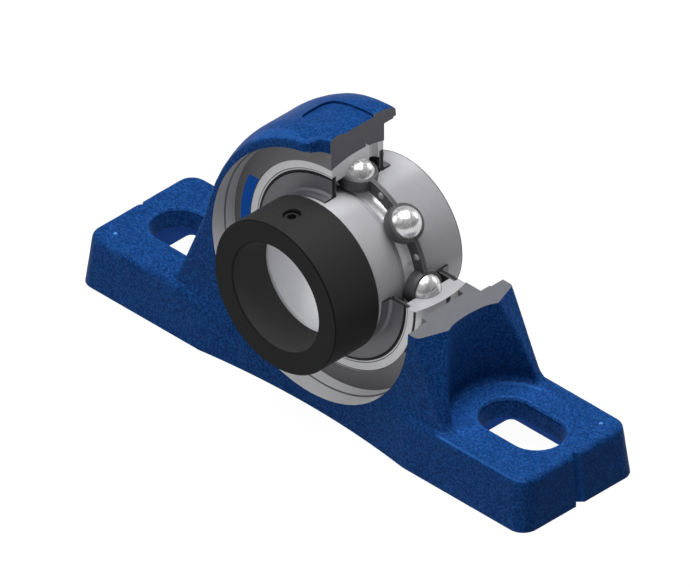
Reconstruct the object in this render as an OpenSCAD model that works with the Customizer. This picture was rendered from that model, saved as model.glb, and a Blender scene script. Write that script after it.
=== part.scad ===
// Cutaway pillow block with a self-aligning ball bearing insert.
// Frame: origin on the mounting plane straight below the bearing centre,
// +X along the base, +Y along the shaft axis towards the rear, +Z up.
// The quarter with X > 0 above the shaft centre is cut away.

/* [Housing] */
// Overall length of the base
base_l = 210; // [196:1:230]
// Width of the base over the feet
base_w = 54; // [52:1:60]
// Height of the shaft centre above the mounting plane
centre_h = 51.2; // [50:0.1:56]
// Thickness of the feet
foot_h = 19.5; // [16:0.5:24]
// Height of the hollow underside of each foot
core_h = 11.4; // [6:0.1:12]
// Draft of the cast walls in degrees
draft = 5.2; // [3:0.1:7]
// Distance between the two mounting slots
slot_pitch = 155; // [150:0.5:164]
// Width of a mounting slot
slot_w = 19.3; // [15:0.1:20]
// End-to-end length of a mounting slot
slot_l = 33; // [28:0.5:36]
// Radius of the clearance pocket for a bolt head
relief_r = 20.5; // [18:0.5:21]
// Distance of the pocket's axis from the middle of the base
relief_x = 71.65; // [70:0.05:74]
// Radius of the crown
crown_r = 51.7; // [50:0.1:54]
// Show the housing and the outer ring with one quarter cut away
cutaway = true; // [true, false]

/* [Bearing insert] */
// Shaft diameter
bore_d = 40; // [38:0.5:41]
// Spherical outside diameter of the outer ring
sphere_d = 81; // [80:0.1:82]
// Width of the outer ring
outer_w = 24.2; // [22:0.1:24.4]
// Length of the inner ring
inner_l = 45.8; // [44:0.1:47]
// Outside diameter of the inner ring
inner_od = 53.4; // [53:0.1:54]
// Diameter of a ball
ball_d = 12; // [11.8:0.1:12.2]
// Pitch diameter of the balls
pitch_d = 62; // [61.8:0.1:62.2]
// Number of balls
balls = 8; // [8:1:8]

/* [Locking collar] */
// Outside diameter of the collar
collar_d = 57; // [56:0.5:62]
// Length of the collar
collar_l = 20.8; // [18:0.1:24]
// Offset of the eccentric
ecc = 0.8; // [0.6:0.1:1]
// Diameter of the set screw
screw_d = 6; // [6:1:8]
// Angle of the set screw from the vertical, in degrees
screw_a = 4; // [0:1:60]

/* [Hidden] */
$fn = 96;

H = centre_h;
bore_r = bore_d / 2;
in_r = inner_od / 2;
sph_r = sphere_d / 2;
seat_r = sph_r + 0.05;
pitch_r = pitch_d / 2;
ball_r = ball_d / 2;
half_w = outer_w / 2;
step_r = 35.4;          // step in the outer ring that holds the seals
seal_y = half_w - 1.95; // inner face of the step
in_h = inner_l / 2;
race_c = 0.03;          // running clearance of a ball in its raceway
groove_r = 6.2;         // raceway groove radius
seat_h = 12.5;          // half length of the spherical seat
cb_r1 = 45.5;           // inner step of the front and rear counterbores
cb_r2 = 46.1;           // outer step of the counterbores
cb_y = 16.8;            // where the two steps meet
tan_d = tan(draft);
edge_r = 3;             // rounding of the cast top edges
col_y1 = -in_h + 4.8;   // rear face of the collar
col_y0 = col_y1 - collar_l;
cam_r = 24.4;           // eccentric seat on the inner ring
rec_r = 24.8;           // eccentric recess in the collar
rec_d = 5.0;            // depth of the recess
scr_y = -29.2;          // set screw position along the shaft
scr_r = screw_d / 2;
pin_r = 1.5;
cage_t = 0.9;           // sheet thickness of the cage
cage_ri = 28.2;
cage_ro = 32.9;
C_PAINT = [0.09, 0.27, 0.55];
C_STEEL = [0.78, 0.79, 0.81];
C_GREY = [0.34, 0.34, 0.36];
C_BLACK = [0.12, 0.12, 0.13];

// cylinder or cone along the shaft axis, from y0 to y1
module ycyl(r0, y0, y1, r1 = -1) {
  translate([0, y0, H]) rotate([-90, 0, 0])
    cylinder(h = y1 - y0, r1 = r0, r2 = r1 < 0 ? r0 : r1);
}
module ytube(ro, ri, y0, y1) {
  difference() { ycyl(ro, y0, y1); ycyl(ri, y0 - 1, y1 + 1); }
}
// solid of revolution about the shaft axis from a polygon of [radius, y]
module yrev(pts) {
  translate([0, 0, H]) rotate([-90, 0, 0]) rotate_extrude() polygon(pts);
}
module ytorus(rc, rt) {
  translate([0, 0, H]) rotate([-90, 0, 0])
    rotate_extrude() translate([rc, 0]) circle(r = rt);
}
module quarter() {
  if (cutaway) translate([0, -60, H]) cube([80, 120, 80]);
}
module at_ball(i) {
  a = 90 - i * 360 / balls;
  translate([pitch_r * cos(a), 0, H + pitch_r * sin(a)]) children();
}
module at_rivet(i) {
  a = 90 - (i + 0.5) * 360 / balls;
  translate([pitch_r * cos(a), 0, H + pitch_r * sin(a)]) children();
}

// ---- housing ----
// half outline of a foot: drafted wall of half width w with a rounded top edge
function wall(w) = concat([[w, 0]],
  [for (a = [draft:(90 - draft) / 4:90.01])
    [w - (foot_h - edge_r) * tan_d - edge_r + edge_r * cos(a), foot_h - edge_r + edge_r * sin(a)]]);
module foot_profile(w) {
  p = wall(w);
  n = len(p);
  polygon(concat(p, [for (i = [n - 1:-1:0]) [-p[i][0], p[i][1]]]));
}
module foot_slab() {
  intersection() {
    translate([0, 60, 0]) rotate([90, 0, 0]) linear_extrude(120) foot_profile(base_l / 2);
    translate([-150, 0, 0]) rotate([90, 0, 90]) linear_extrude(300) foot_profile(base_w / 2);
    translate([0, 0, -1]) linear_extrude(foot_h + 2) rounded_rect(base_l, base_w, 6);
  }
}
module rounded_rect(l, w, r) {
  union() {
    square([l - 2 * r, w], center = true);
    square([l, w - 2 * r], center = true);
    for (x = [-1, 1], y = [-1, 1])
      translate([x * (l / 2 - r), y * (w / 2 - r)]) circle(r = r);
  }
}
// one sloping flank of the pedestal: everything outside the plane is removed
module flank_cut(sx, sy) {
  mirror([sx > 0 ? 0 : 1, 0, 0]) mirror([0, sy > 0 ? 1 : 0, 0])
    translate([50.8, -21, H]) rotate([0, -21.33, -19.8])
      translate([0, -100, -100]) cube([100, 200, 200]);
}
module pedestal() {
  intersection() {
    difference() {
      translate([-100, -27, 0]) cube([200, 54, H + 15]);
      for (sx = [-1, 1], sy = [-1, 1]) flank_cut(sx, sy);
    }
    cheeks();
  }
}
// front and rear faces of the body, drawn in at the crown
module cheeks() {
  h = [[23.5, 0], [23.1, 10], [22.5, H - 1.2], [21.3, H + 20], [18.5, H + 43], [17.4, H + 53]];
  translate([-110, 0, 0]) rotate([90, 0, 90]) linear_extrude(220)
    polygon(concat([for (p = h) p], [for (i = [5:-1:0]) [-h[i][0], h[i][1]]]));
}
module arch() {
  intersection() {
    union() {
      ycyl(crown_r, -12, 12);
      ycyl(crown_r - 0.36 * 15, -27, -12, crown_r);
      ycyl(crown_r, 12, 27, crown_r - 0.36 * 15);
    }
    cheeks();
    translate([-60, -30, 2]) cube([120, 60, 120]);
  }
}
module mounting_slot(sx) {
  e = (slot_l - slot_w) / 2;
  translate([sx * slot_pitch / 2, 0, -1]) {
    for (d = [-e, e]) translate([d, 0, 0]) cylinder(h = foot_h + 3, d = slot_w);
    translate([-e, -slot_w / 2, 0]) cube([2 * e, slot_w, foot_h + 3]);
  }
}
// hollow underside of a foot, seen through its slot
module foot_core(sx) {
  translate([sx * 75.3, 0, -1]) linear_extrude(core_h + 1) rounded_rect(44.2, 38.2, 2.6);
}
module bolt_relief(sx) {
  translate([sx * relief_x, 0, 0]) {
    translate([0, 0, foot_h]) cylinder(h = 3, r1 = relief_r - 3, r2 = relief_r);
    translate([0, 0, foot_h + 3]) cylinder(h = 100, r = relief_r);
  }
}
module crown_recess() {
  intersection() {
    ytube(crown_r + 5, crown_r - 1, -20, 20);
    translate([0, 0, H + 30]) linear_extrude(40) rounded_rect(43, 14.8, 4.5);
  }
}
module housing() color(C_PAINT) difference() {
  union() {
    difference() {
      foot_slab();
      for (s = [-1, 1])
        translate([0, s * (23.5 + 331), -1]) cylinder(h = foot_h + 3, r = 331, $fn = 360);
    }
    pedestal();
    arch();
  }
  for (s = [-1, 1]) {
    mounting_slot(s);
    foot_core(s);
    bolt_relief(s);
    translate([s * base_l / 2, 0, 0]) rotate([0, -s * draft, 0]) rotate([0, 0, 45])
      cube([2.83, 2.83, 60], center = true);
    translate([s * 96, s * 18.4, foot_h - 0.6]) cylinder(h = 2, r1 = 0.5, r2 = 2.2);
  }
  // machined seat and counterbores
  translate([0, 0, H]) rotate([90, 0, 0]) sphere(r = seat_r);
  ycyl(cb_r1, -30, -seat_h);
  ycyl(cb_r1, seat_h, 30);
  ycyl(cb_r2, -30, -cb_y);
  ycyl(cb_r2, cb_y, 30);
  // lubrication groove in the seat
  ycyl(41.7, 3.8, 5.4);
  // loading slots at both sides, open to the front
  intersection() {
    ycyl(42.6, -seat_h - 1, 7.5);
    translate([-50, -20, H - 18.2]) cube([100, 40, 36.4]);
  }
  // groove for the locating pin
  translate([0, 0, H - 42.3]) {
    for (y = [-2.3, 2.3]) translate([0, y, 0]) cylinder(h = 6, r = pin_r + 0.04);
    translate([-pin_r - 0.04, -2.3, 0]) cube([2 * pin_r + 0.08, 4.6, 6]);
  }
  // scallop in the front rim and shallow recess on the crown
  translate([0, -19.2, H + 38]) cylinder(h = 30, r = 6.3);
  crown_recess();
  quarter();
}

// ---- bearing insert ----
module outer_ring() color(C_STEEL) difference() {
  intersection() {
    translate([0, 0, H]) rotate([90, 0, 0]) sphere(r = sph_r);
    ycyl(60, -half_w, half_w);
  }
  ycyl(33.2, -20, 20);
  for (s = [-1, 1]) mirror([0, s > 0 ? 0 : 1, 0]) {
    ycyl(step_r, seal_y, 20);
    ycyl(step_r, half_w - 0.3, half_w + 0.3, step_r + 0.6);
  }
  ytorus(pitch_r + ball_r + race_c - groove_r, groove_r);
  // lubrication hole and the hole for the locating pin
  translate([0, 7.5, H + 30]) cylinder(h = 14, r = 2.1);
  translate([0, 0, H - 45]) cylinder(h = 45 - 38.1, r = pin_r + 0.03);
  quarter();
}
module locating_pin() color(C_GREY)
  translate([0, 0, H - 41.9]) {
    cylinder(h = 0.4, r1 = pin_r - 0.4, r2 = pin_r);
    translate([0, 0, 0.4]) cylinder(h = 3.3, r = pin_r);
  }
module inner_ring() color(C_STEEL) difference() {
  union() {
    ycyl(in_r, col_y1 + 0.1, in_h - 0.2);
    ycyl(in_r, in_h - 0.2, in_h, in_r - 0.2);
    translate([ecc, 0, 0]) ycyl(cam_r, -in_h + 0.4, col_y1 + 0.2);
    translate([ecc, 0, 0]) ycyl(cam_r - 0.4, -in_h, -in_h + 0.4, cam_r);
  }
  ycyl(bore_r, -40, 40);
  ycyl(bore_r, in_h - 0.8, in_h + 0.2, bore_r + 1);
  ycyl(bore_r + 1, -in_h - 0.2, -in_h + 0.8, bore_r);
  ytorus(pitch_r - ball_r - race_c + groove_r, groove_r);
}
module a_ball(i) color(C_STEEL) at_ball(i) sphere(r = ball_r);
// half of a hollow ball pocket, pressed out of the strip
module pocket_shell() {
  rotate([-90, 0, 0]) rotate_extrude() intersection() {
    difference() { circle(r = ball_r + 0.1 + cage_t); circle(r = ball_r + 0.1); }
    square(20);
  }
}
module cage_half(s) color(C_GREY) mirror([0, s > 0 ? 0 : 1, 0]) union() {
  difference() {
    ytube(cage_ro, cage_ri, 0, cage_t);
    for (i = [0:balls - 1]) {
      at_ball(i) rotate([90, 0, 0]) cylinder(h = 4, r = ball_r + 0.5, center = true);
      at_rivet(i) rotate([90, 0, 0]) cylinder(h = 4, r = 0.8, center = true);
    }
  }
  intersection() {
    for (i = [0:balls - 1]) at_ball(i) pocket_shell();
    ytube(cage_ro, cage_ri, -1, 9);
  }
}
module cage_front_half() cage_half(-1);
module cage_rear_half() cage_half(1);
module a_rivet(i) color(C_STEEL) at_rivet(i) rotate([-90, 0, 0]) {
  translate([0, 0, -cage_t]) cylinder(h = 2 * cage_t, r = 0.8);
  translate([0, 0, cage_t]) cylinder(h = 0.55, r1 = 1.3, r2 = 0.8);
  translate([0, 0, -cage_t - 0.55]) cylinder(h = 0.55, r1 = 0.8, r2 = 1.3);
}
module seal_insert(s) color(C_STEEL) mirror([0, s > 0 ? 0 : 1, 0]) difference() {
  ytube(step_r, 28.2, seal_y, seal_y + 0.6);
  quarter();
}
module seal(s) color(C_BLACK) mirror([0, s > 0 ? 0 : 1, 0]) difference() {
  yrev([[26.8, seal_y], [28.2, seal_y], [28.2, seal_y + 0.6], [step_r, seal_y + 0.6],
    [step_r, half_w - 0.1], [34.3, half_w - 0.1], [34.1, half_w - 0.8], [33.6, seal_y + 1.1],
    [28, seal_y + 1.1], [27.2, seal_y + 0.8]]);
  quarter();
}
module flinger(s) color(C_GREY) mirror([0, s > 0 ? 0 : 1, 0]) difference() {
  yrev([[in_r, seal_y + 1.3], [33.4, seal_y + 1.3], [33.9, seal_y + 1.7], [33.9, half_w + 0.2],
    [33.2, half_w + 0.1], [28.4, half_w - 0.1], [27.5, half_w + 0.6], [27.5, 15.4], [in_r, 15.4]]);
  quarter();
}
module front_seal() seal(-1);
module rear_seal() seal(1);
module front_seal_insert() seal_insert(-1);
module rear_seal_insert() seal_insert(1);
module front_flinger() flinger(-1);
module rear_flinger() flinger(1);

// ---- locking collar ----
module at_screw() translate([0, scr_y, H]) rotate([0, -screw_a, 0]) children();
module locking_collar() color(C_BLACK) difference() {
  union() {
    ycyl(collar_d / 2 - 0.35, col_y0, col_y0 + 0.35, collar_d / 2);
    ycyl(collar_d / 2, col_y0 + 0.35, col_y1 - 0.35);
    ycyl(collar_d / 2, col_y1 - 0.35, col_y1, collar_d / 2 - 0.35);
  }
  ycyl(bore_r + 0.1, -60, 0);
  ycyl(bore_r + 0.7, col_y0 - 0.1, col_y0 + 0.5, bore_r + 0.1);
  translate([ecc, 0, 0]) ycyl(rec_r, col_y1 - rec_d, col_y1 + 1);
  at_screw() cylinder(h = 40, r = scr_r);
  at_screw() translate([0, 0, collar_d / 2 - 0.4]) cylinder(h = 2, r1 = scr_r, r2 = scr_r + 2);
}
module set_screw() color(C_GREY) at_screw() translate([0, 0, 20.4]) difference() {
  union() {
    cylinder(h = 1, r1 = scr_r - 1.05, r2 = scr_r - 0.05);
    translate([0, 0, 1]) cylinder(h = 5.5, r = scr_r - 0.05);
    translate([0, 0, 6.5]) cylinder(h = 0.5, r1 = scr_r - 0.05, r2 = scr_r - 0.55);
  }
  translate([0, 0, -0.1]) cylinder(h = 1.1, r1 = scr_r / 2, r2 = scr_r / 5);
  translate([0, 0, 3.2]) cylinder(h = 5, r = scr_r / 2 / cos(30), $fn = 6);
}

housing();
outer_ring();
locating_pin();
inner_ring();
cage_front_half();
cage_rear_half();
a_rivet(0);  // cage_rivet_1
a_rivet(1);  // cage_rivet_2
a_rivet(2);  // cage_rivet_3
a_rivet(3);  // cage_rivet_4
a_rivet(4);  // cage_rivet_5
a_rivet(5);  // cage_rivet_6
a_rivet(6);  // cage_rivet_7
a_rivet(7);  // cage_rivet_8
a_ball(0);  // ball_1
a_ball(1);  // ball_2
a_ball(2);  // ball_3
a_ball(3);  // ball_4
a_ball(4);  // ball_5
a_ball(5);  // ball_6
a_ball(6);  // ball_7
a_ball(7);  // ball_8
front_seal();
rear_seal();
front_seal_insert();
rear_seal_insert();
front_flinger();
rear_flinger();
locking_collar();
set_screw();
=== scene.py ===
import bpy, bmesh, math
import numpy as np
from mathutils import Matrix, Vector


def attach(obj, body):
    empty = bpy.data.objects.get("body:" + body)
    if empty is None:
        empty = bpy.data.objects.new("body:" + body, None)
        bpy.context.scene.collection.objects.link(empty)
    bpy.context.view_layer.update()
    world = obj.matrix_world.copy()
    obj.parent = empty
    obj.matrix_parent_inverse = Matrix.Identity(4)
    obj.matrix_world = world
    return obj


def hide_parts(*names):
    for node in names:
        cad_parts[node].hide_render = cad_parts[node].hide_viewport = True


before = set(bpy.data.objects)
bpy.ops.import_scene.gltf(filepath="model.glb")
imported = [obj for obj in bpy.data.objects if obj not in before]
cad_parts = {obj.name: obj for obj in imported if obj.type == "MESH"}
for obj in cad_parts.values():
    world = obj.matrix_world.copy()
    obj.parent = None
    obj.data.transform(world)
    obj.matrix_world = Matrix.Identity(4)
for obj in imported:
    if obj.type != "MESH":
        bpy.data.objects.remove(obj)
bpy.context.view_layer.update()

sc = bpy.context.scene
H = 51.2          # shaft centre above the mounting plane, mm
MM = 0.001

# ------------------------------------------------------------------ camera
cam = bpy.data.cameras.new("cam")
cam_ob = bpy.data.objects.new("cam", cam)
sc.collection.objects.link(cam_ob)
cam.type = 'ORTHO'
cam.ortho_scale = 0.230
aim = Vector((0.00845, -0.01443, 0.045))
d = Vector((1, -1, 1)).normalized()
cam_ob.location = aim + d * 0.8
cam_ob.rotation_euler = (-d).to_track_quat('-Z', 'Y').to_euler()
sc.camera = cam_ob


# ------------------------------------------------------------------ casting
# The housing casting is a smooth field (negative inside), in millimetres,
# meshed on a grid and then machined with booleans.
def rmax(a, b, r):
    """Intersection with an edge rounded to radius r."""
    return np.minimum(-r, np.maximum(a, b)) + np.hypot(np.maximum(a + r, 0), np.maximum(b + r, 0))


def rmin(a, b, r):
    """Union with a fillet of radius r."""
    return np.maximum(r, np.minimum(a, b)) - np.hypot(np.maximum(r - a, 0), np.maximum(r - b, 0))


def step(a, b, v):
    t = np.clip((v - a) / (b - a), 0, 1)
    return t * t * (3 - 2 * t)


DRAFT = math.radians(5.2)
FOOT = 19.5


def foot_half_width(x):
    """Half width of the base at the mounting plane: straight at the ends, drawn in between the feet."""
    arc = 23.5 + 331 - np.sqrt(np.maximum(331.0 ** 2 - x * x, 0))
    return np.where(x < 48, arc, 27.0)


def field(px, py, pz):
    x, y, z = np.abs(px), np.abs(py), pz
    t, c = math.tan(DRAFT), math.cos(DRAFT)
    w_foot = foot_half_width(x)
    # slab of the two feet
    side = rmax((x - (105 - z * t)) * c, (y - (27 - z * t)) * c, 6.0)
    side = np.maximum(side, (y - (w_foot - z * t)) * c)
    slab = rmax((x - (105 - z * t)) * c, z - FOOT, np.where(px > 0, 2.6, 1.5))
    slab = np.maximum(slab, rmax(side, z - FOOT, 1.9))
    # pedestal with four sloping flanks and a pocket for each bolt head
    rear = step(0.0, 12.0, py)
    f = 0.8764 * (x - 50.8 - 0.5 * rear) + (0.3637 + 0.030 * rear) * (z - H)
    flank = rmax(f + 0.3155 * (y - 21), f + 0.3155 * (-y - 21), 5.0)
    flank = np.maximum(flank, z - (H + 15))
    rr = np.hypot(x - 71.65, y)
    flank = rmax(flank, 20.5 - rr, 0.8)
    # arch over the bearing
    rho = np.hypot(x, z - H)
    arch = rmax(rho - 51.7, (rho - 51.7 + 0.36 * (y - 12)) / math.hypot(1, 0.36), 1.3)
    body = rmin(flank, arch, 2.5)
    fil = 2.5 + (2.0 + 4.5 * step(-6.0, 6.0, py)) * step(1.0, 9.0, rr - 20.5)
    body = rmin(body, z - FOOT, fil)
    # front and rear walls
    cheek = np.interp(z, [0, 10, 50, 71.2, 94.2, 104.2], [23.5, 23.1, 22.5, 21.3, 18.5, 17.4])
    s = step(8.0, 24.0, z)
    wall = (1 - s) * (w_foot - z * t) + s * cheek
    body = rmax(body, y - wall, 0.9 + 0.9 * step(60.0, 44.0, z) * step(0.0, -10.0, py))
    body = np.maximum(body, x - 86)
    # scallop in the front rim
    sc_r = np.maximum(np.hypot(px, py + 19.2) - 6.3, (H + 38) - pz)
    body = rmax(body, -sc_r, 1.6)
    out = np.minimum(body, slab)
    # mounting slots
    slot = np.hypot(np.maximum(np.abs(x - 77.5) - 6.85, 0), y) - 9.65
    out = rmax(out, -slot, 0.6 + 1.3 * step(14.0, 17.0, z))
    # hollow underside of each foot, seen through the slot
    qx, qy = np.abs(x - 75.3) - 19.5, y - 16.5
    core = np.hypot(np.maximum(qx, 0), np.maximum(qy, 0)) + np.minimum(np.maximum(qx, qy), 0) - 2.6
    out = rmax(out, -rmax(core, z - 11.4, 1.2), 0.35)
    # openings at both sides through which the bearing is put in
    load = np.maximum(np.maximum(rho - 42.6, py - 7.5), np.abs(z - H) - 18.2)
    out = rmax(out, -load, 0.8)
    return np.maximum(out, -2.4 - z)


def surface_nets(fn, lo, hi, h):
    n = [int(math.ceil((b - a) / h)) + 1 for a, b in zip(lo, hi)]
    ax = [np.float32(a) + np.arange(k, dtype=np.float32) * np.float32(h) for a, k in zip(lo, n)]
    D = np.empty(n, np.float32)
    for i in range(0, n[0], 24):
        X, Y, Z = np.meshgrid(ax[0][i:i + 24], ax[1], ax[2], indexing="ij")
        D[i:i + 24] = fn(X, Y, Z)
    inside = D < 0
    count = np.zeros([k - 1 for k in n], np.int8)
    corners = [(a, b, c) for a in (0, 1) for b in (0, 1) for c in (0, 1)]
    for a, b, c in corners:
        count += inside[a:n[0] - 1 + a, b:n[1] - 1 + b, c:n[2] - 1 + c]
    I, J, K = np.nonzero((count > 0) & (count < 8))
    index = np.full(count.shape, -1, np.int32)
    index[I, J, K] = np.arange(len(I), dtype=np.int32)
    val = {q: D[I + q[0], J + q[1], K + q[2]].astype(float) for q in corners}
    acc, num = np.zeros((len(I), 3)), np.zeros(len(I))
    for a in corners:
        for axis in range(3):
            if a[axis]:
                continue
            b = tuple(1 if k == axis else a[k] for k in range(3))
            va, vb = val[a], val[b]
            m = (va < 0) != (vb < 0)
            tt = np.where(m, va / np.where(m, va - vb, 1), 0)
            p = np.tile(np.array(a, float), (len(I), 1))
            p[:, axis] = tt
            acc[m] += p[m]
            num[m] += 1
    V = np.array(lo, float) + (np.stack([I, J, K], 1) + acc / num[:, None]) * h
    quads = []
    for axis in range(3):
        sl0 = [slice(1, k - 1) for k in n]
        sl1 = [slice(1, k - 1) for k in n]
        sl0[axis] = slice(0, n[axis] - 1)
        sl1[axis] = slice(1, n[axis])
        a, b = inside[tuple(sl0)], inside[tuple(sl1)]
        P = list(np.nonzero(a != b))
        first = a[tuple(P)]
        P = [p + (0 if k == axis else 1) for k, p in enumerate(P)]
        u, v = [k for k in range(3) if k != axis]
        def cell(du, dv):
            q = [p.copy() for p in P]
            q[u] -= du
            q[v] -= dv
            return index[tuple(q)]
        q = np.stack([cell(1, 1), cell(0, 1), cell(0, 0), cell(1, 0)], 1)
        flip = first if axis != 1 else ~first
        q = np.where(flip[:, None], q, q[:, ::-1])
        quads.append(q)
    return V, np.concatenate(quads)


def gradient(fn, V, e=0.05):
    g = np.empty_like(V)
    for k in range(3):
        a, b = V.copy(), V.copy()
        a[:, k] += e
        b[:, k] -= e
        g[:, k] = (fn(*a.T) - fn(*b.T)) / (2 * e)
    return g


def noise3(V, scale, seed):
    """Smooth value noise in -1..1, features about scale mm wide."""
    rng = np.random.default_rng(seed)
    tab = rng.uniform(-1, 1, (64, 64, 64))
    q = V / scale
    i = np.floor(q).astype(int)
    f = q - i
    f = f * f * (3 - 2 * f)
    out = 0
    for a in (0, 1):
        for b in (0, 1):
            for c in (0, 1):
                w = (f[:, 0] if a else 1 - f[:, 0]) * (f[:, 1] if b else 1 - f[:, 1]) * (f[:, 2] if c else 1 - f[:, 2])
                out = out + w * tab[(i[:, 0] + a) & 63, (i[:, 1] + b) & 63, (i[:, 2] + c) & 63]
    return out


def smooth(V, Q, mask, times):
    E = np.concatenate([Q[:, [0, 1]], Q[:, [1, 2]], Q[:, [2, 3]], Q[:, [3, 0]]])
    E = np.unique(np.sort(E, 1), axis=0)
    deg = np.bincount(E.ravel(), minlength=len(V)).astype(float)
    for _ in range(times):
        s = np.zeros_like(V)
        for k in range(3):
            s[:, k] = np.bincount(E[:, 0], V[E[:, 1], k], len(V)) + np.bincount(E[:, 1], V[E[:, 0], k], len(V))
        V = V + mask[:, None] * 0.6 * (s / deg[:, None] - V)
    return V


def mesh_object(name, V, faces, scale=MM):
    me = bpy.data.meshes.new(name)
    me.from_pydata((np.asarray(V, float) * scale).tolist(), [], [list(map(int, f)) for f in faces])
    me.validate()
    ob = bpy.data.objects.new(name, me)
    sc.collection.objects.link(ob)
    return ob


def casting(h):
    V, Q = surface_nets(field, (-108, -30, -4), (108, 30, 106), h)
    for _ in range(3):
        f = field(*V.T)
        g = gradient(field, V)
        move = (f / np.maximum((g * g).sum(1), 0.3))[:, None] * g
        length = np.linalg.norm(move, axis=1, keepdims=True)
        V = V - move * np.minimum(1, 0.5 * h / np.maximum(length, 1e-9))
    x, y, z = np.abs(V[:, 0]), np.abs(V[:, 1]), V[:, 2]
    # the ledge between the wall and the top of each foot is blended by hand, as a pattern maker would
    m = step(18, 26, x) * (1 - step(50, 58, x)) * step(10, 14, z) * (1 - step(25, 30, z)) * step(16.5, 19, y)
    V = smooth(V, Q, m, int(26 / h))
    V = smooth(V, Q, np.full(len(V), 0.25) * step(0.5, 3, z), 1)
    # uneven cast skin
    g = gradient(field, V)
    nrm = g / np.maximum(np.linalg.norm(g, axis=1, keepdims=True), 1e-6)
    slotd = np.hypot(np.maximum(np.abs(x - 77.5) - 6.85, 0), y) - 9.65
    rough = step(0.2, 1.5, slotd) * 0.75 + 0.25
    amp = (0.025 * noise3(V, 9.3, 1) + 0.035 * noise3(V, 2.3, 2) - 0.03) * rough
    V = V + nrm * np.minimum(amp, 0)[:, None] * step(0.0, 2.0, z)[:, None]
    return mesh_object("housing_casting", V, Q)


def revolve(name, prof, seg):
    """Closed solid of revolution about the shaft axis, from [radius, y] pairs that start and end on the axis."""
    V, F = [(0, prof[0][1], H), (0, prof[-1][1], H)], []
    ring = []
    for r, y in prof[1:-1]:
        ring.append(len(V))
        V += [(r * math.cos(2 * math.pi * (k + 0.5) / seg), y, H + r * math.sin(2 * math.pi * (k + 0.5) / seg)) for k in range(seg)]
    for a, b in zip(ring, ring[1:]):
        F += [(a + k, b + k, b + (k + 1) % seg, a + (k + 1) % seg) for k in range(seg)]
    F += [(0, ring[0] + k, ring[0] + (k + 1) % seg) for k in range(seg)]
    F += [(1, ring[-1] + (k + 1) % seg, ring[-1] + k) for k in range(seg)]
    return V, F


def box_mesh(lo, hi):
    V = [(x, y, z) for x in (lo[0], hi[0]) for y in (lo[1], hi[1]) for z in (lo[2], hi[2])]
    return V, [(0, 1, 3, 2), (4, 6, 7, 5), (0, 4, 5, 1), (2, 3, 7, 6), (0, 2, 6, 4), (1, 5, 7, 3)]


def cut(ob, V, F, op='DIFFERENCE'):
    c = mesh_object("cutter", V, F)
    bm = bmesh.new()
    bm.from_mesh(c.data)
    bmesh.ops.recalc_face_normals(bm, faces=bm.faces)
    bm.to_mesh(c.data)
    bm.free()
    m = ob.modifiers.new("cut", 'BOOLEAN')
    m.operation = op
    m.solver = 'MANIFOLD'
    m.object = c
    dg = bpy.context.evaluated_depsgraph_get()
    me = bpy.data.meshes.new_from_object(ob.evaluated_get(dg))
    if len(me.polygons) < 10:
        bpy.data.meshes.remove(me)
        m.solver = 'EXACT'
        dg = bpy.context.evaluated_depsgraph_get()
        me = bpy.data.meshes.new_from_object(ob.evaluated_get(dg))
        print("cut: exact solver used")
    ob.modifiers.remove(m)
    old = ob.data
    ob.data = me
    bpy.data.meshes.remove(old)
    old = c.data
    bpy.data.objects.remove(c)
    bpy.data.meshes.remove(old)


def prism(outline, lo, hi):
    """Upright prism from an outline of [x, y] points."""
    n = len(outline)
    V = [(x, y, lo) for x, y in outline] + [(x, y, hi) for x, y in outline]
    F = [tuple(range(n - 1, -1, -1)), tuple(range(n, 2 * n))]
    F += [(k, (k + 1) % n, n + (k + 1) % n, n + k) for k in range(n)]
    return V, F


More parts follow.
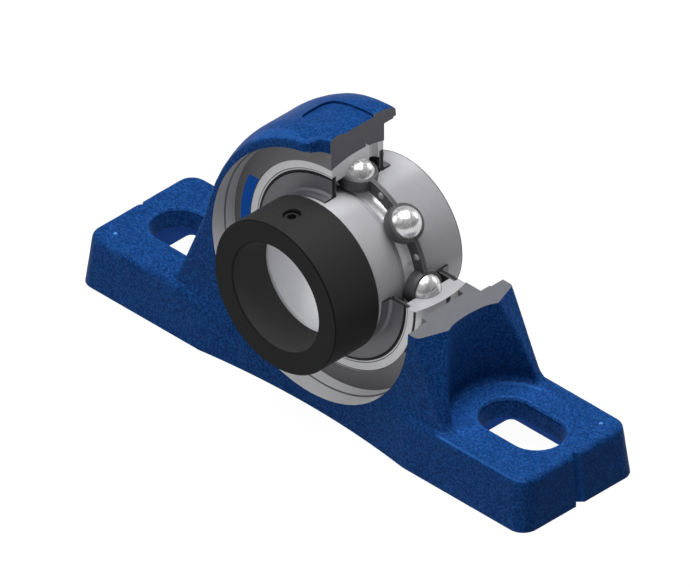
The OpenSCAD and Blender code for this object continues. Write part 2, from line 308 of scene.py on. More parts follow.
def housing_piece():
    ob = casting(0.8)
    # shallow panel on the crown
    pts = []
    for cx, cy, a0 in ((17, 2.9, 0), (-17, 2.9, 90), (-17, -2.9, 180), (17, -2.9, 270)):
        pts += [(cx + 4.5 * math.cos(math.radians(a0 + k * 9)), cy + 4.5 * math.sin(math.radians(a0 + k * 9))) for k in range(11)]
    PV, PF = prism(pts, H + 40, H + 60)
    panel = mesh_object("panel", PV, PF)
    RV, RF = revolve("r", [(0, -20), (50.75, -20), (50.75, 20), (0, 20)], 160)
    cut(panel, RV, RF)
    V = [tuple(v.co / MM) for v in panel.data.vertices]
    F = [tuple(p.vertices) for p in panel.data.polygons]
    bpy.data.objects.remove(panel)
    cut(ob, V, F)
    # centre marks on the end faces and small dimples on the feet
    t = math.tan(DRAFT)
    for s in (-1, 1):
        V = []
        for z in (-3, 21):
            xw = 105 - z * t
            V += [(s * (xw - 2.0), 0, z), (s * (xw + 2), -4.0, z), (s * (xw + 2), 4.0, z)]
        cut(ob, V, [(0, 1, 2), (3, 5, 4), (0, 3, 4, 1), (1, 4, 5, 2), (2, 5, 3, 0)])
        V, F = [(s * 96, s * 18.4, FOOT - 0.75)], []
        V += [(s * 96 + 1.7 * math.cos(k * math.pi / 10), s * 18.4 + 1.7 * math.sin(k * math.pi / 10), FOOT + 0.9) for k in range(20)]
        F = [(0, 1 + k, 1 + (k + 1) % 20) for k in range(20)] + [tuple(range(20, 0, -1))]
        cut(ob, V, F)
    # machined seat, counterbores and lubrication groove
    R = 40.55
    sph = lambda a, b, n: [(math.sqrt(R * R - y * y), y) for y in np.linspace(a, b, n)]
    prof = [(0, -30), (46.1, -30), (46.1, -16.8), (45.5, -16.8), (45.5, -12.5)] + sph(-12.5, 3.8, 17) + [(41.7, 3.8), (41.7, 5.4)] + sph(5.4, 12.5, 13)
    prof += [(45.5, 12.5), (45.5, 16.8), (46.1, 16.8), (46.1, 30), (0, 30)]
    V, F = revolve("r", prof, 192)
    cut(ob, V, F)
    # groove for the locating pin
    pts = [(1.54 * math.cos(math.radians(a)), 2.3 + 1.54 * math.sin(math.radians(a))) for a in range(0, 181, 15)]
    pts += [(1.54 * math.cos(math.radians(a)), -2.3 + 1.54 * math.sin(math.radians(a))) for a in range(180, 361, 15)]
    V, F = prism(pts, H - 42.3, H - 36.3)
    cut(ob, V, F)
    # flat base, and the quarter that is cut away
    cut(ob, *box_mesh((-120, -40, -10), (120, 40, 0)))
    cut(ob, *box_mesh((0, -40, H), (70, 40, H + 60)))
    return ob


# ------------------------------------------------------------------ materials
class Nodes:
    def __init__(self, name):
        self.m = bpy.data.materials.new(name)
        self.m.use_nodes = True
        self.t = self.m.node_tree
        self.b = self.t.nodes["Principled BSDF"]
        self.co = self.t.nodes.new("ShaderNodeTexCoord").outputs["Object"]

    def n(self, kind, **kw):
        node = self.t.nodes.new("ShaderNode" + kind)
        for k, v in kw.items():
            if hasattr(node, k):
                setattr(node, k, v)
            else:
                self.put(node, k, v)
        return node

    def put(self, node, key, v):
        s = node.inputs[key] if isinstance(key, int) else node.inputs[key.replace("_", " ")]
        if isinstance(v, bpy.types.NodeSocket):
            self.t.links.new(v, s)
        else:
            s.default_value = v

    def noise(self, scale, detail=2.0, rough=0.5, vec=None, distortion=0.0):
        k = self.n("TexNoise")
        self.put(k, "Vector", vec or self.co)
        self.put(k, "Scale", scale)
        self.put(k, "Detail", detail)
        self.put(k, "Roughness", rough)
        self.put(k, "Distortion", distortion)
        return k.outputs["Fac"]

    def stretch(self, sx, sy, sz):
        k = self.n("Mapping")
        self.put(k, "Vector", self.co)
        self.put(k, "Scale", (sx, sy, sz))
        return k.outputs["Vector"]

    def math(self, op, a, b=0.0, c=0.0, clamp=False):
        k = self.n("Math", operation=op)
        k.use_clamp = clamp
        for i, v in enumerate((a, b, c)):
            self.put(k, i, v)
        return k.outputs[0]

    def ramp(self, fac, stops):
        k = self.n("ValToRGB")
        self.put(k, "Fac", fac)
        e = k.color_ramp.elements
        while len(e) < len(stops):
            e.new(0.5)
        for el, (p, col) in zip(e, stops):
            el.position = p
            el.color = (*col, 1) if len(col) == 3 else col
        return k.outputs["Color"]

    def mix(self, fac, a, b, kind='MIX'):
        k = self.n("Mix", data_type='RGBA', blend_type=kind)
        self.put(k, 0, fac)
        for i, v in ((6, a), (7, b)):
            if not isinstance(v, bpy.types.NodeSocket) and len(v) == 3:
                v = (*v, 1)
            self.put(k, i, v)
        return k.outputs[2]

    def bump(self, height, distance, strength=1.0, normal=None):
        k = self.n("Bump")
        self.put(k, "Strength", strength)
        self.put(k, "Distance", distance)
        self.put(k, "Height", height)
        if normal is not None:
            self.put(k, "Normal", normal)
        return k.outputs["Normal"]

    def place(self):
        """Object-space x, y, z and radius from the shaft axis, in mm, with z from the shaft centre."""
        k = self.n("SeparateXYZ")
        self.put(k, 0, self.co)
        x, y, z = (self.math('MULTIPLY', o, 1000.0) for o in k.outputs)
        z = self.math('SUBTRACT', z, H)
        r = self.math('SQRT', self.math('ADD', self.math('MULTIPLY', x, x), self.math('MULTIPLY', z, z)))
        return x, y, z, r

    def facing(self):
        """Object-space normal."""
        k = self.n("SeparateXYZ")
        self.put(k, 0, self.t.nodes.new("ShaderNodeTexCoord").outputs["Normal"])
        return k.outputs

    def over(self, v, edge):
        return self.math('GREATER_THAN', v, edge)

    def under(self, v, edge):
        return self.math('LESS_THAN', v, edge)

    def all(self, *m):
        out = m[0]
        for k in m[1:]:
            out = self.math('MULTIPLY', out, k)
        return out

    def ease(self, v, a, b):
        k = self.n("MapRange", interpolation_type='SMOOTHSTEP')
        self.put(k, 0, v)
        self.put(k, 1, a)
        self.put(k, 2, b)
        return k.outputs[0]

    def out(self, **kw):
        for k, v in kw.items():
            self.put(self.b, k, v)
        return self.m


def srgb(r, g, b):
    f = lambda c: (c / 255 / 12.92) if c <= 10 else ((c / 255 + 0.055) / 1.055) ** 2.4
    return (f(r), f(g), f(b))


def grey(v):
    return srgb(v, v, min(255, v + 4))


def paint(name="blue_paint", glow=0.0):
    n = Nodes(name)
    big = n.noise(70, 3, 0.6)
    blot = n.noise(330, 2, 0.6, distortion=0.6)
    fine = n.noise(1250, 2, 0.75, distortion=0.5)
    grain = n.noise(2500, 1, 0.5)
    base = n.mix(big, (0.0042, 0.0322, 0.1290), (0.0058, 0.0392, 0.1540))
    base = n.mix(n.math('MULTIPLY', n.math('SUBTRACT', blot, 0.40), 1.6, clamp=True), base, (0.0073, 0.0460, 0.1760))
    f2 = n.math('MULTIPLY', n.math('SUBTRACT', fine, 0.43), 6.0, clamp=True)
    dark = n.mix(1.0, base, (0.60, 0.62, 0.65), 'MULTIPLY')
    light = n.mix(1.0, base, (1.80, 1.40, 1.27), 'MULTIPLY')
    col = n.mix(f2, dark, light)
    f3 = n.math('MULTIPLY', n.math('SUBTRACT', grain, 0.50), 5.0, clamp=True)
    col = n.mix(n.math('MULTIPLY', f3, 0.30), col, (0.0030, 0.0215, 0.0900))
    # painted highlights: a light arc round each pocket, the top front edges, the front rim round the scallop and the
    # two small dimples; the notch faces are coloured lighter, painted light where the notch is in shade
    x, y, z, rad = n.place()
    nx, ny, nz = n.facing()
    ax, ay = n.math('ABSOLUTE', x), n.math('ABSOLUTE', y)
    def reach(px, py):
        a, b = n.math('SUBTRACT', x if py is not None else ax, px), n.math('SUBTRACT', y, py or 0.0)
        return n.math('SQRT', n.math('ADD', n.math('MULTIPLY', a, a), n.math('MULTIPLY', b, b)))
    rr = reach(71.65, None)
    arc = n.all(n.over(rr, 17.8), n.under(rr, 18.9), n.over(z, -31.9), n.under(z, -30.6), n.ease(y, 10.0, 15.0), n.ease(x, 69.5, 67.0), n.over(x, 50.0))
    front = n.all(n.under(ny, -0.30), n.over(nz, 0.60), n.under(nz, 0.84), n.over(z, -35.0), n.under(z, -31.4), n.under(y, -22.5), n.over(x, 62.0), n.ease(x, 61.0, 64.0), n.math('SUBTRACT', 1.0, n.math('MULTIPLY', n.ease(x, 66.0, 74.0), 0.45)))
    rim = n.all(n.under(ny, -0.25), n.over(nz, 0.50), n.under(nz, 0.92), n.over(z, 38.0), n.under(y, -11.0))
    # painted light on the pocket floor, most near the pedestal where its shadow falls, and on the walls of slot and
    # hollow
    pocket = n.math('ADD', 0.20, n.math('MULTIPLY', n.all(n.ease(x, 82.0, 59.0), n.under(ay, 19.5)), 0.80))
    pocket = n.all(pocket, n.over(nz, 0.85), n.under(z, -30.9), n.over(z, -32.5), n.over(x, 50.0))
    col = n.mix(n.math('MULTIPLY', pocket, 0.85), col, n.mix(1.0, col, (1.75, 1.60, 1.62), 'MULTIPLY'))
    # painted light: the walls of slot and hollow are lightened
    walls = n.all(n.under(z, -33.3), n.over(ax, 53.0), n.under(ax, 97.6), n.under(ay, 19.3), n.under(n.math('ABSOLUTE', nz), 0.7))
    col = n.mix(n.math('MULTIPLY', walls, 0.8), col, n.mix(1.0, col, (1.45, 1.40, 1.35), 'MULTIPLY'))
    # the lip of each slot: painted shade on its steep face and a painted highlight on its rounded edge
    lip = n.all(n.over(ax, 59.0), n.under(ax, 96.0), n.under(ay, 11.6), n.over(z, -33.4), n.under(z, -31.72))
    col = n.mix(n.math('MULTIPLY', n.all(lip, n.under(nz, 0.36)), 0.9), col, n.mix(1.0, col, (0.55, 0.60, 0.62), 'MULTIPLY'))
    col = n.mix(n.math('MULTIPLY', n.all(lip, n.over(nz, 0.36), n.under(nz, 0.95)), 0.75), col, n.mix(1.0, col, (1.75, 1.60, 1.50), 'MULTIPLY'))
    # painted light: the walls of the hollow under each foot are coloured lighter
    inner = n.all(n.under(z, -39.8), n.over(ax, 53.0), n.under(ax, 97.6), n.under(ay, 19.3))
    col = n.mix(n.math('MULTIPLY', inner, 0.9), col, (0.0140, 0.0700, 0.3000))
    # painted highlight along the pocket arcs, the top front edges and the front rim
    painted_highlight = n.math('MULTIPLY', n.math('ADD', n.math('ADD', n.math('MULTIPLY', arc, 0.75), n.math('MULTIPLY', rim, 0.28)), n.math('MULTIPLY', front, 0.85)), n.math('ADD', n.math('MULTIPLY', blot, 0.9), 0.35), clamp=True)
    col = n.mix(painted_highlight, col, (0.022, 0.110, 0.360))
    # painted highlight on each small dimple
    dimple_highlight = n.all(n.math('MAXIMUM', n.under(reach(96.1, 18.5), 0.68), n.under(reach(-95.9, -18.4), 0.68)), n.over(z, -33.4), n.under(z, -31.0))
    col = n.mix(n.math('MULTIPLY', dimple_highlight, 0.75), col, (0.10, 0.25, 0.62))
    # painted light: the faces of the notch on each end are lightened where the notch shades them
    notch = n.all(n.under(ay, 3.3), n.over(ax, 101.4), n.over(n.math('ABSOLUTE', ny), 0.3), n.under(z, -32.2))
    col = n.mix(n.math('MULTIPLY', notch, 0.35), col, (0.0085, 0.0600, 0.2300))
    # painted shade: the right end faces, turned away from the light, are darker
    ends = n.all(n.ease(nx, 0.60, 0.97), n.under(z, -31.5), n.over(x, 95.0))
    col = n.mix(n.math('MULTIPLY', ends, 0.45), col, (0.0010, 0.0120, 0.0480))
    h = n.math('ADD', n.math('MULTIPLY', fine, 0.6), n.math('MULTIPLY', blot, 0.4))
    nor = n.bump(h, 0.00032, 0.9)
    rough = n.math('ADD', n.math('MULTIPLY', fine, 0.25), 0.28)
    # glow makes the whole surface glow blue: painted light
    kw = {"Emission_Color": (0.010, 0.085, 0.40, 1), "Emission_Strength": glow} if glow else {}
    return n.out(Base_Color=col, Roughness=rough, Normal=nor, Specular_IOR_Level=0.012, **kw)


def machined(name, lo, hi, dark, metal, rough, glow=0.0):
    n = Nodes(name)
    streak = n.noise(1.0, 4, 0.6, vec=n.stretch(420, 2600, 420))
    soft = n.noise(45, 2, 0.5)
    col = n.mix(streak, lo, hi)
    col = n.mix(n.math('MULTIPLY', soft, 0.4), col, dark)
    r = n.math('ADD', n.math('MULTIPLY', streak, 0.2), rough)
    nor = n.bump(streak, 0.00003, 0.5)
    kw = {}
    x, y, z, rad = n.place()
    if glow:
        # painted light: a glow low in the bore, a faint glow on the front counterbore and a glow in the lubrication
        # groove; painted shade: the dark line where its two steps meet
        low = n.all(n.ease(z, 6.0, -34.0), n.ease(x, 52.0, 0.0))
        line = n.all(n.over(rad, 45.3), n.math('LESS_THAN', n.math('ABSOLUTE', n.math('SUBTRACT', n.math('ABSOLUTE', y), 16.8)), 0.13))
        groove = n.all(n.over(rad, 40.8), n.under(rad, 42.2), n.over(y, 3.6), n.under(y, 5.6))
        side = n.all(n.over(rad, 45.3), n.under(y, 0.0), n.over(z, -12.0))
        g = n.math('ADD', n.math('ADD', n.math('MULTIPLY', low, glow), n.math('MULTIPLY', side, 0.035)), n.math('MULTIPLY', groove, 0.5))
        g = n.math('MULTIPLY', g, n.math('SUBTRACT', 1.0, n.math('MULTIPLY', line, 0.45)))
        col = n.mix(n.math('MULTIPLY', line, 0.7), col, (0.17, 0.17, 0.176))
        kw = {"Emission_Color": (0.97, 0.98, 1.0, 1), "Emission_Strength": g}
    return n.out(Base_Color=col, Roughness=r, Metallic=metal, Normal=nor, Specular_IOR_Level=0.3, **kw)


def section(name, a, b):
    n = Nodes(name)
    k = n.noise(300, 4, 0.6)
    big = n.noise(30, 2, 0.5)
    col = n.mix(k, a, b)
    col = n.mix(n.math('MULTIPLY', big, 0.25), col, tuple(c * 0.85 for c in a))
    nor = n.bump(n.noise(2200, 2, 0.6), 0.00002, 0.4)
    return n.out(Base_Color=col, Roughness=0.6, Normal=nor, Specular_IOR_Level=0.05)


def steel(name, lo, hi, rough=0.28, metal=0.7, axis="y", streaks=1.0, bump=0.00001, seam=False, cuts=None):
    n = Nodes(name)
    v = n.stretch(260, 2400, 260) if axis == "y" else n.stretch(900, 900, 900)
    streak = n.noise(1.0, 4, 0.6, vec=v)
    soft = n.noise(60, 2, 0.5)
    col = n.mix(n.math('MULTIPLY', streak, streaks, clamp=True), lo, hi)
    r = n.math('ADD', n.math('MULTIPLY', soft, 0.10), n.math('ADD', n.math('MULTIPLY', streak, 0.10), rough - 0.08))
    nor = n.bump(streak, bump, 0.6)
    x, y, z, rad = n.place()
    nx, ny, nz = n.facing()
    if seam:
        # the joint between the two pressed halves
        line = n.under(n.math('ABSOLUTE', y), 0.14)
        col = n.mix(line, col, (0.012, 0.012, 0.012))
    if cuts:
        k = n.noise(500, 3, 0.6)
        xcut = n.all(n.over(nx, 0.95), n.under(n.math('ABSOLUTE', x), 0.06))
        zcut = n.all(n.over(nz, 0.95), n.under(n.math('ABSOLUTE', z), 0.06))
        col = n.mix(xcut, col, n.mix(k, cuts, tuple(c * 1.15 for c in cuts)))
        col = n.mix(zcut, col, n.mix(k, cuts, tuple(c * 1.15 for c in cuts)))
    return n.out(Base_Color=col, Roughness=r, Metallic=metal, Normal=nor)


def ring(name, outer):
    """Ground ring steel: fine turning marks round the shaft axis and bright cut faces, with painted light and shade:
    painted shadow lines at the arrises, different tones for the cut planes and for surfaces by the way they face, and
    glow where parts lie in shade.
    """
    n = Nodes(name)
    streak = n.noise(1.0, 4, 0.6, vec=n.stretch(260, 2400, 260))
    soft = n.noise(60, 2, 0.5)
    col = n.mix(streak, (0.235, 0.235, 0.245), (0.315, 0.315, 0.330))
    r = n.math('ADD', n.math('MULTIPLY', soft, 0.10), n.math('ADD', n.math('MULTIPLY', streak, 0.10), 0.24))
    nor = n.bump(streak, 0.00001, 0.6)
    x, y, z, rad = n.place()
    nx, ny, nz = n.facing()
    k = n.noise(420, 3, 0.6)
    metal = 0.35
    glow = 0.0
    if outer:
        xcut = n.all(n.over(nx, 0.95), n.under(n.math('ABSOLUTE', x), 0.06))
        zcut = n.all(n.over(nz, 0.95), n.under(n.math('ABSOLUTE', z), 0.06))
        # the front face and the seal step get a light colour and a small glow: painted light that also hides the shade
        # line at the step
        rim = n.all(n.under(ny, -0.9), n.under(y, -11.9))
        rim = n.math('MAXIMUM', rim, n.all(n.under(rad, 35.5), n.under(y, -11.97)))
        ball = n.over(n.math('SQRT', n.math('ADD', n.math('MULTIPLY', rad, rad), n.math('MULTIPLY', y, y))), 40.3)
        hole_glow = n.all(n.over(z, 33.0), n.under(n.math('ABSOLUTE', x), 2.3), n.over(y, 5.2), n.under(y, 9.8), n.math('SUBTRACT', 1.0, xcut))
        skin = n.all(ball, n.math('SUBTRACT', 1.0, xcut), n.math('SUBTRACT', 1.0, zcut), n.math('SUBTRACT', 1.0, rim))
        arris = n.all(rim, n.over(rad, 38.35))
        # the X cut face is coloured lighter than the Z cut face: painted light and shade for the way each plane faces
        # the light
        col = n.mix(xcut, col, n.mix(k, (0.44, 0.44, 0.455), (0.54, 0.54, 0.56)))
        col = n.mix(zcut, col, n.mix(k, (0.252, 0.252, 0.267), (0.308, 0.308, 0.326)))
        col = n.mix(rim, col, n.mix(k, (0.52, 0.52, 0.53), (0.60, 0.60, 0.61)))
        # the outer sphere is coloured lighter than the rest of the ring, painted light where it lies in shade in the
        # loading-slot gap; a painted shadow line runs along its front edge
        col = n.mix(skin, col, (0.40, 0.40, 0.425))
        col = n.mix(n.all(skin, n.under(y, -11.4)), col, (0.02, 0.02, 0.02))
        # a dark patch of painted shade on the outer sphere beside the right loading slot
        painted_shade_patch = n.all(skin, n.over(x, 30.0), n.over(y, 1.3), n.under(y, 3.4), n.under(z, 0.0), n.over(n.math('SUBTRACT', z, n.math('MULTIPLY', y, 0.9)), -4.6))
        col = n.mix(painted_shade_patch, col, (0.012, 0.012, 0.014))
        # painted shadow line at the outer arris of the front face, where the ring meets the seat
        col = n.mix(arris, col, (0.03, 0.03, 0.03))
        flat = n.math('MAXIMUM', n.math('MAXIMUM', xcut, zcut), n.math('MAXIMUM', rim, skin))
        metal = n.math('MULTIPLY', n.math('SUBTRACT', 1.0, flat), 0.35)
        # painted light: glow on the outer sphere in the loading-slot gap, stronger low down, towards the front and
        # behind y 3.4; also glow in the lubrication hole and on the inner part of the front face
        low = n.math('ADD', 0.10, n.math('MULTIPLY', n.ease(z, -1.0, -5.0), 0.13))
        low = n.math('ADD', 0.035, n.math('MULTIPLY', n.ease(y, -7.5, -11.0), low))
        low = n.math('ADD', low, n.math('MULTIPLY', n.over(y, 3.4), 0.055))
        low = n.all(low, skin, n.over(y, -11.4), n.math('SUBTRACT', 1.0, painted_shade_patch))
        glow = n.math('ADD', low, n.math('MULTIPLY', hole_glow, 0.12))
        glow = n.math('ADD', glow, n.math('MULTIPLY', n.all(rim, n.under(rad, 38.35)), 0.10))
    else:
        bore = n.under(rad, 20.9)
        edge = n.all(n.over(y, 22.42), n.over(rad, 26.35))
        arris = n.all(n.over(y, 22.0), n.under(rad, 20.9))
        front = n.all(n.under(y, -5.9), n.over(rad, 24.0))
        race = n.all(n.under(n.math('ABSOLUTE', y), 4.4), n.over(rad, 22.0), n.under(rad, 26.62))
        lip = n.all(n.over(rad, 26.0), n.under(n.math('ABSOLUTE', n.math('SUBTRACT', n.math('ABSOLUTE', y), 4.0)), 0.17))
        # painted light: the front part and the raceway are coloured lighter, and the bore lighter still
        col = n.mix(front, col, n.mix(streak, (0.300, 0.300, 0.310), (0.360, 0.360, 0.375)))
        col = n.mix(race, col, (0.42, 0.42, 0.43))
        # painted shadow lines along both edges of the raceway
        col = n.mix(n.math('MULTIPLY', lip, 0.7), col, (0.06, 0.06, 0.06))
        col = n.mix(bore, col, n.mix(streak, (0.50, 0.50, 0.52), (0.66, 0.66, 0.68)))
        # painted shadow line at the rear outer edge
        col = n.mix(edge, col, (0.010, 0.010, 0.011))
        # the outer surface is coloured by the way it faces: darker on the sides, lighter below and on top; painted
        # light and shade, which turns with the ring
        skin = n.all(n.over(rad, 26.3), n.over(n.math('ABSOLUTE', y), 5.0))
        painted_shade_sides = n.all(n.ease(nz, 0.02, 0.42), n.ease(nz, 1.02, 0.90), skin, n.under(nz, 1.01))
        col = n.mix(n.math('MULTIPLY', painted_shade_sides, n.math('ADD', 0.62, n.math('MULTIPLY', front, -0.05))), col, n.mix(1.0, col, (0.66, 0.66, 0.67), 'MULTIPLY'))
        painted_light_below = n.all(skin, n.over(nx, 0.0), n.ease(nz, 0.10, -0.12))
        painted_light_top = n.all(skin, n.ease(nz, 0.93, 1.0))
        col = n.mix(painted_light_below, col, n.mix(1.0, col, (1.38, 1.38, 1.38), 'MULTIPLY'))
        col = n.mix(painted_light_top, col, n.mix(1.0, col, (1.30, 1.30, 1.30), 'MULTIPLY'))
        metal = n.math('MULTIPLY', n.math('SUBTRACT', 1.0, n.math('MAXIMUM', bore, skin)), 0.35)
        r = n.math('ADD', r, n.math('MULTIPLY', skin, 0.30))
        # painted highlight: a soft bright streak that glows slanting through the bore, and a faint glow on the raceway
        w = n.math('ADD', n.math('MULTIPLY', z, 1.0), n.math('MULTIPLY', y, -0.55))
        bright = n.math('ADD', n.ease(w, 22.0, -30.0), n.math('MULTIPLY', n.all(n.ease(w, -6.0, -12.0), n.ease(w, -20.0, -13.0)), 0.5))
        glow = n.math('ADD', n.math('MULTIPLY', n.all(bore, bright), 0.26), n.math('MULTIPLY', race, 0.045))
    return n.out(Base_Color=col, Roughness=r, Metallic=metal, Normal=nor, Emission_Color=(0.96, 0.97, 1.0, 1), Emission_Strength=glow)


def chrome():
    n = Nodes("ball_steel")
    k = n.noise(150, 3, 0.6, distortion=2.5)
    k2 = n.noise(520, 3, 0.6, distortion=1.0)
    f = n.math('MULTIPLY', n.math('SUBTRACT', k, 0.38), 3.6, clamp=True)
    col = n.mix(f, (0.46, 0.46, 0.46), (0.78, 0.78, 0.78))
    col = n.mix(n.math('MULTIPLY', k2, 0.5), col, (0.58, 0.58, 0.59))
    r = n.math('ADD', n.math('MULTIPLY', f, 0.10), 0.20)
    nor = n.bump(n.noise(150, 2, 0.5, distortion=1.5), 0.00030, 0.35)
    return n.out(Base_Color=col, Roughness=r, Metallic=0.72, Normal=nor)


def oxide():
    n = Nodes("black_oxide")
    k = n.noise(700, 3, 0.6)
    big = n.noise(50, 2, 0.5)
    x, y, z, rad = n.place()
    nx, ny, nz = n.facing()
    col = n.mix(k, (0.0165, 0.0162, 0.0165), (0.0225, 0.0222, 0.0228))
    # painted light: the bore is coloured lighter and glows, more towards the bottom
    bore = n.under(rad, 20.5)
    col = n.mix(bore, col, (0.034, 0.034, 0.034))
    # painted shade: the front face is darker
    front = n.all(n.under(ny, -0.9), n.over(rad, 20.5))
    col = n.mix(front, col, n.mix(k, (0.0085, 0.0087, 0.0090), (0.0120, 0.0122, 0.0126)))
    # painted shadow lines on the front chamfers at the rim and at the bore
    outline_shade = n.all(n.under(ny, -0.2), n.math('MAXIMUM', n.over(rad, 28.13), n.under(rad, 20.58)))
    col = n.mix(outline_shade, col, (0.005, 0.005, 0.005))
    r = n.math('ADD', n.math('MULTIPLY', big, 0.12), 0.42)
    nor = n.bump(n.noise(1400, 2, 0.5), 0.00001, 0.5)
    glow = n.math('MULTIPLY', n.all(bore, n.ease(z, 16.0, -20.0)), 0.011)
    return n.out(Base_Color=col, Roughness=r, Normal=nor, Specular_IOR_Level=0.045, Emission_Color=(1, 1, 1, 1), Emission_Strength=glow)


def rubber():
    n = Nodes("seal_rubber")
    k = n.noise(900, 3, 0.6)
    col = n.mix(k, (0.004, 0.004, 0.0045), (0.008, 0.008, 0.0085))
    nor = n.bump(k, 0.00002, 0.4)
    x, y, z, rad = n.place()
    nx, ny, nz = n.facing()
    # the outermost band of each seal face is coloured like the outer ring's front face, with the same small glow,
    # painted light
    band = n.all(n.over(n.math('ABSOLUTE', y), 11.9), n.over(n.math('ABSOLUTE', ny), 0.9), n.over(rad, 34.95))
    col = n.mix(band, col, n.mix(k, (0.52, 0.52, 0.53), (0.60, 0.60, 0.61)))
    return n.out(Base_Color=col, Roughness=0.6, Normal=nor, Specular_IOR_Level=0.3,
                 Emission_Color=(0.96, 0.97, 1.0, 1), Emission_Strength=n.math('MULTIPLY', band, 0.10))


M = {
    "blue_paint": paint(),
    "blue_inside_lit": paint("blue_paint_inside_lit", 0.45),
    "machined": machined("machined_bore_lit", (0.44, 0.44, 0.455), (0.60, 0.60, 0.615), (0.38, 0.38, 0.39), 0.15, 0.36, 0.21),
    "faced_shaded": machined("machined_face_shaded", (0.144, 0.142, 0.154), (0.190, 0.188, 0.203), (0.128, 0.128, 0.130), 0.1, 0.45),
    "section": section("cut_iron", (0.096, 0.096, 0.108), (0.116, 0.116, 0.130)),
    "outer_ring": ring("ring_steel", True),
    "inner_ring": ring("inner_ring_steel", False),
    "ball_steel": chrome(),
    "cage_steel": steel("cage_steel", (0.045, 0.045, 0.048), (0.075, 0.075, 0.080), 0.42, 0.25, axis="n", seam=True),
    "rivet_steel": steel("rivet_steel", (0.26, 0.26, 0.265), (0.34, 0.34, 0.34), 0.36, 0.5, axis="n"),
    "pin_steel": steel("pin_steel", (0.3, 0.3, 0.31), (0.4, 0.4, 0.41), 0.3, 0.7, axis="n"),
    "insert_steel": steel("insert_steel", (0.05, 0.05, 0.05), (0.08, 0.08, 0.08), 0.35, 0.3, axis="n", cuts=(0.06, 0.06, 0.06)),
    "flinger_steel": steel("flinger_steel", (0.116, 0.113, 0.126), (0.163, 0.159, 0.176), 0.42, 0.2, cuts=(0.006, 0.006, 0.006)),
    "seal_rubber": rubber(),
    "black_oxide": oxide(),
}

# ------------------------------------------------------------------ pieces
def smooth_by_angle(me, angle=34):
    me.polygons.foreach_set("use_smooth", [True] * len(me.polygons))
    me.set_sharp_from_angle(angle=math.radians(angle))


hp = housing_piece()
me = hp.data
np_n = len(me.polygons)
C, N = np.empty(np_n * 3), np.empty(np_n * 3)
me.polygons.foreach_get("center", C)
me.polygons.foreach_get("normal", N)
C, N = C.reshape(-1, 3) / MM, N.reshape(-1, 3)
rho = np.hypot(C[:, 0], C[:, 2] - H)
dist = np.sqrt(rho ** 2 + C[:, 1] ** 2)
radial = (N[:, 0] * C[:, 0] + N[:, 2] * (C[:, 2] - H)) / np.maximum(rho, 1e-6)
ay = np.abs(C[:, 1])
mi = np.zeros(np_n, int)
turned = ((np.abs(rho - 45.5) < 0.06) | (np.abs(rho - 46.1) < 0.06)) & (radial < -0.9) & (ay > 12.4)
turned |= (np.abs(ay - 12.5) < 0.02) & (np.abs(N[:, 1]) > 0.99) & (rho > 38.4) & (rho < 45.6)
turned |= (np.abs(ay - 16.8) < 0.02) & (np.abs(N[:, 1]) > 0.99) & (rho > 45.4)
turned |= (np.abs(dist - 40.55) < 0.08) & (radial < -0.8)
turned |= (C[:, 1] > 3.7) & (C[:, 1] < 5.5) & (rho < 41.8) & (rho > 40)
mi[turned] = 1
# faces normal to the shaft, and the right slot's walls that face the front or upward, get the darker faced copy of the
# machined iron: painted shade
mi[turned & (np.abs(N[:, 1]) > 0.99)] = 3
slot_wall = (C[:, 0] > 30) & (np.abs(C[:, 2] - H) < 18.4) & (C[:, 1] < 7.8) & (rho < 43.4) & (rho > 38) & ~turned
mi[slot_wall] = 1
mi[slot_wall & ((N[:, 1] < -0.7) | (N[:, 2] > 0.5))] = 3
# the left loading slot gets the glowing blue paint: painted light where the slot lies in shade
mi[(C[:, 0] < -30) & (np.abs(C[:, 2] - H) < 18.6) & (C[:, 1] < 7.9) & (rho < 43.4) & (rho > 38) & ~turned] = 4
mi[(C[:, 2] < 0.01) & (N[:, 2] < -0.99)] = 1
mi[(np.abs(C[:, 0]) < 0.01) & (N[:, 0] > 0.99) & (C[:, 2] > H)] = 2
mi[(np.abs(C[:, 2] - H) < 0.01) & (N[:, 2] > 0.99) & (C[:, 0] > 0)] = 2
me.materials.clear()
for k in ("blue_paint", "machined", "section", "faced_shaded", "blue_inside_lit"):
    me.materials.append(M[k])
me.polygons.foreach_set("material_index", mi)
smooth_by_angle(me)
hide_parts("housing")
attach(hp, "housing")

SLOT = {"outer_ring": "outer_ring", "inner_ring": "inner_ring", "locating_pin": "pin_steel",
        "cage_front_half": "cage_steel", "cage_rear_half": "cage_steel",
        "front_seal": "seal_rubber", "rear_seal": "seal_rubber",
        "front_seal_insert": "insert_steel", "rear_seal_insert": "insert_steel",
        "front_flinger": "flinger_steel", "rear_flinger": "flinger_steel",
        "locking_collar": "black_oxide", "set_screw": "black_oxide"}
for name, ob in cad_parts.items():
    key = SLOT.get(name) or ("rivet_steel" if "rivet" in name else "ball_steel" if "ball" in name else "blue_paint")
    ob.data.materials.clear()
    ob.data.materials.append(M[key])

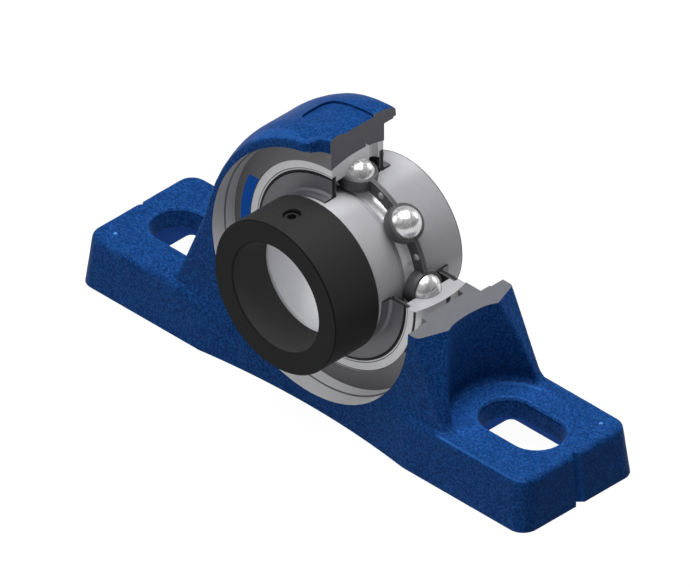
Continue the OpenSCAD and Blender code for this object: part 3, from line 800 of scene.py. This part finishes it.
# ------------------------------------------------------------------ floor, light
FV = [(-3000, -3000, -0.02), (3000, -3000, -0.02), (3000, 3000, -0.02), (-3000, 3000, -0.02)]
floor = mesh_object("floor", FV, [(0, 1, 2, 3)])
fm = Nodes("floor_white")
fcol = fm.mix(fm.noise(6, 2, 0.5), (0.05, 0.05, 0.05), (0.06, 0.06, 0.06))
floor.data.materials.append(fm.out(Base_Color=fcol, Roughness=0.9, Specular_IOR_Level=0.0, Emission_Color=(1, 1, 1, 1), Emission_Strength=0.97))


def area(name, loc, target, size, power, size_y=None):
    L = bpy.data.lights.new(name, 'AREA')
    L.energy = power
    L.size = size
    if size_y:
        L.shape = 'RECTANGLE'
        L.size_y = size_y
    o = bpy.data.objects.new(name, L)
    sc.collection.objects.link(o)
    o.location = loc
    o.rotation_euler = (Vector(target) - Vector(loc)).to_track_quat('-Z', 'Y').to_euler()
    return o


area("top", (-0.08, 0.06, 1.3), (0, 0, 0), 1.1, 28)
area("left", (-0.9, -0.9, 0.75), (0, 0, 0.03), 0.8, 5.0)
area("behind", (0.16, 0.9, 0.36), (0, 0.02, 0.045), 0.35, 2.5)
w = bpy.data.worlds.new("studio")
sc.world = w
w.use_nodes = True
wt = w.node_tree
bg = wt.nodes["Background"]
bg.inputs[1].default_value = 0.5
geo = wt.nodes.new("ShaderNodeTexCoord")
sep = wt.nodes.new("ShaderNodeSeparateXYZ")
wt.links.new(geo.outputs["Generated"], sep.inputs[0])
rm = wt.nodes.new("ShaderNodeValToRGB")
wt.links.new(sep.outputs["Z"], rm.inputs["Fac"])
rm.color_ramp.elements[0].position = 0.0
rm.color_ramp.elements[0].color = (0.16, 0.16, 0.17, 1)
rm.color_ramp.elements[1].position = 0.75
rm.color_ramp.elements[1].color = (0.95, 0.95, 0.96, 1)
side = wt.nodes.new("ShaderNodeMapRange")
side.inputs[1].default_value = -0.1
side.inputs[2].default_value = 0.9
side.inputs[3].default_value = 1.0
side.inputs[4].default_value = 0.35
wt.links.new(sep.outputs["X"], side.inputs[0])
dim = wt.nodes.new("ShaderNodeMix")
dim.data_type = 'RGBA'
dim.blend_type = 'MULTIPLY'
dim.inputs[0].default_value = 1.0
wt.links.new(rm.outputs["Color"], dim.inputs[6])
wt.links.new(side.outputs[0], dim.inputs[7])
wt.links.new(dim.outputs[2], bg.inputs[0])
sc.view_settings.view_transform = 'Standard'
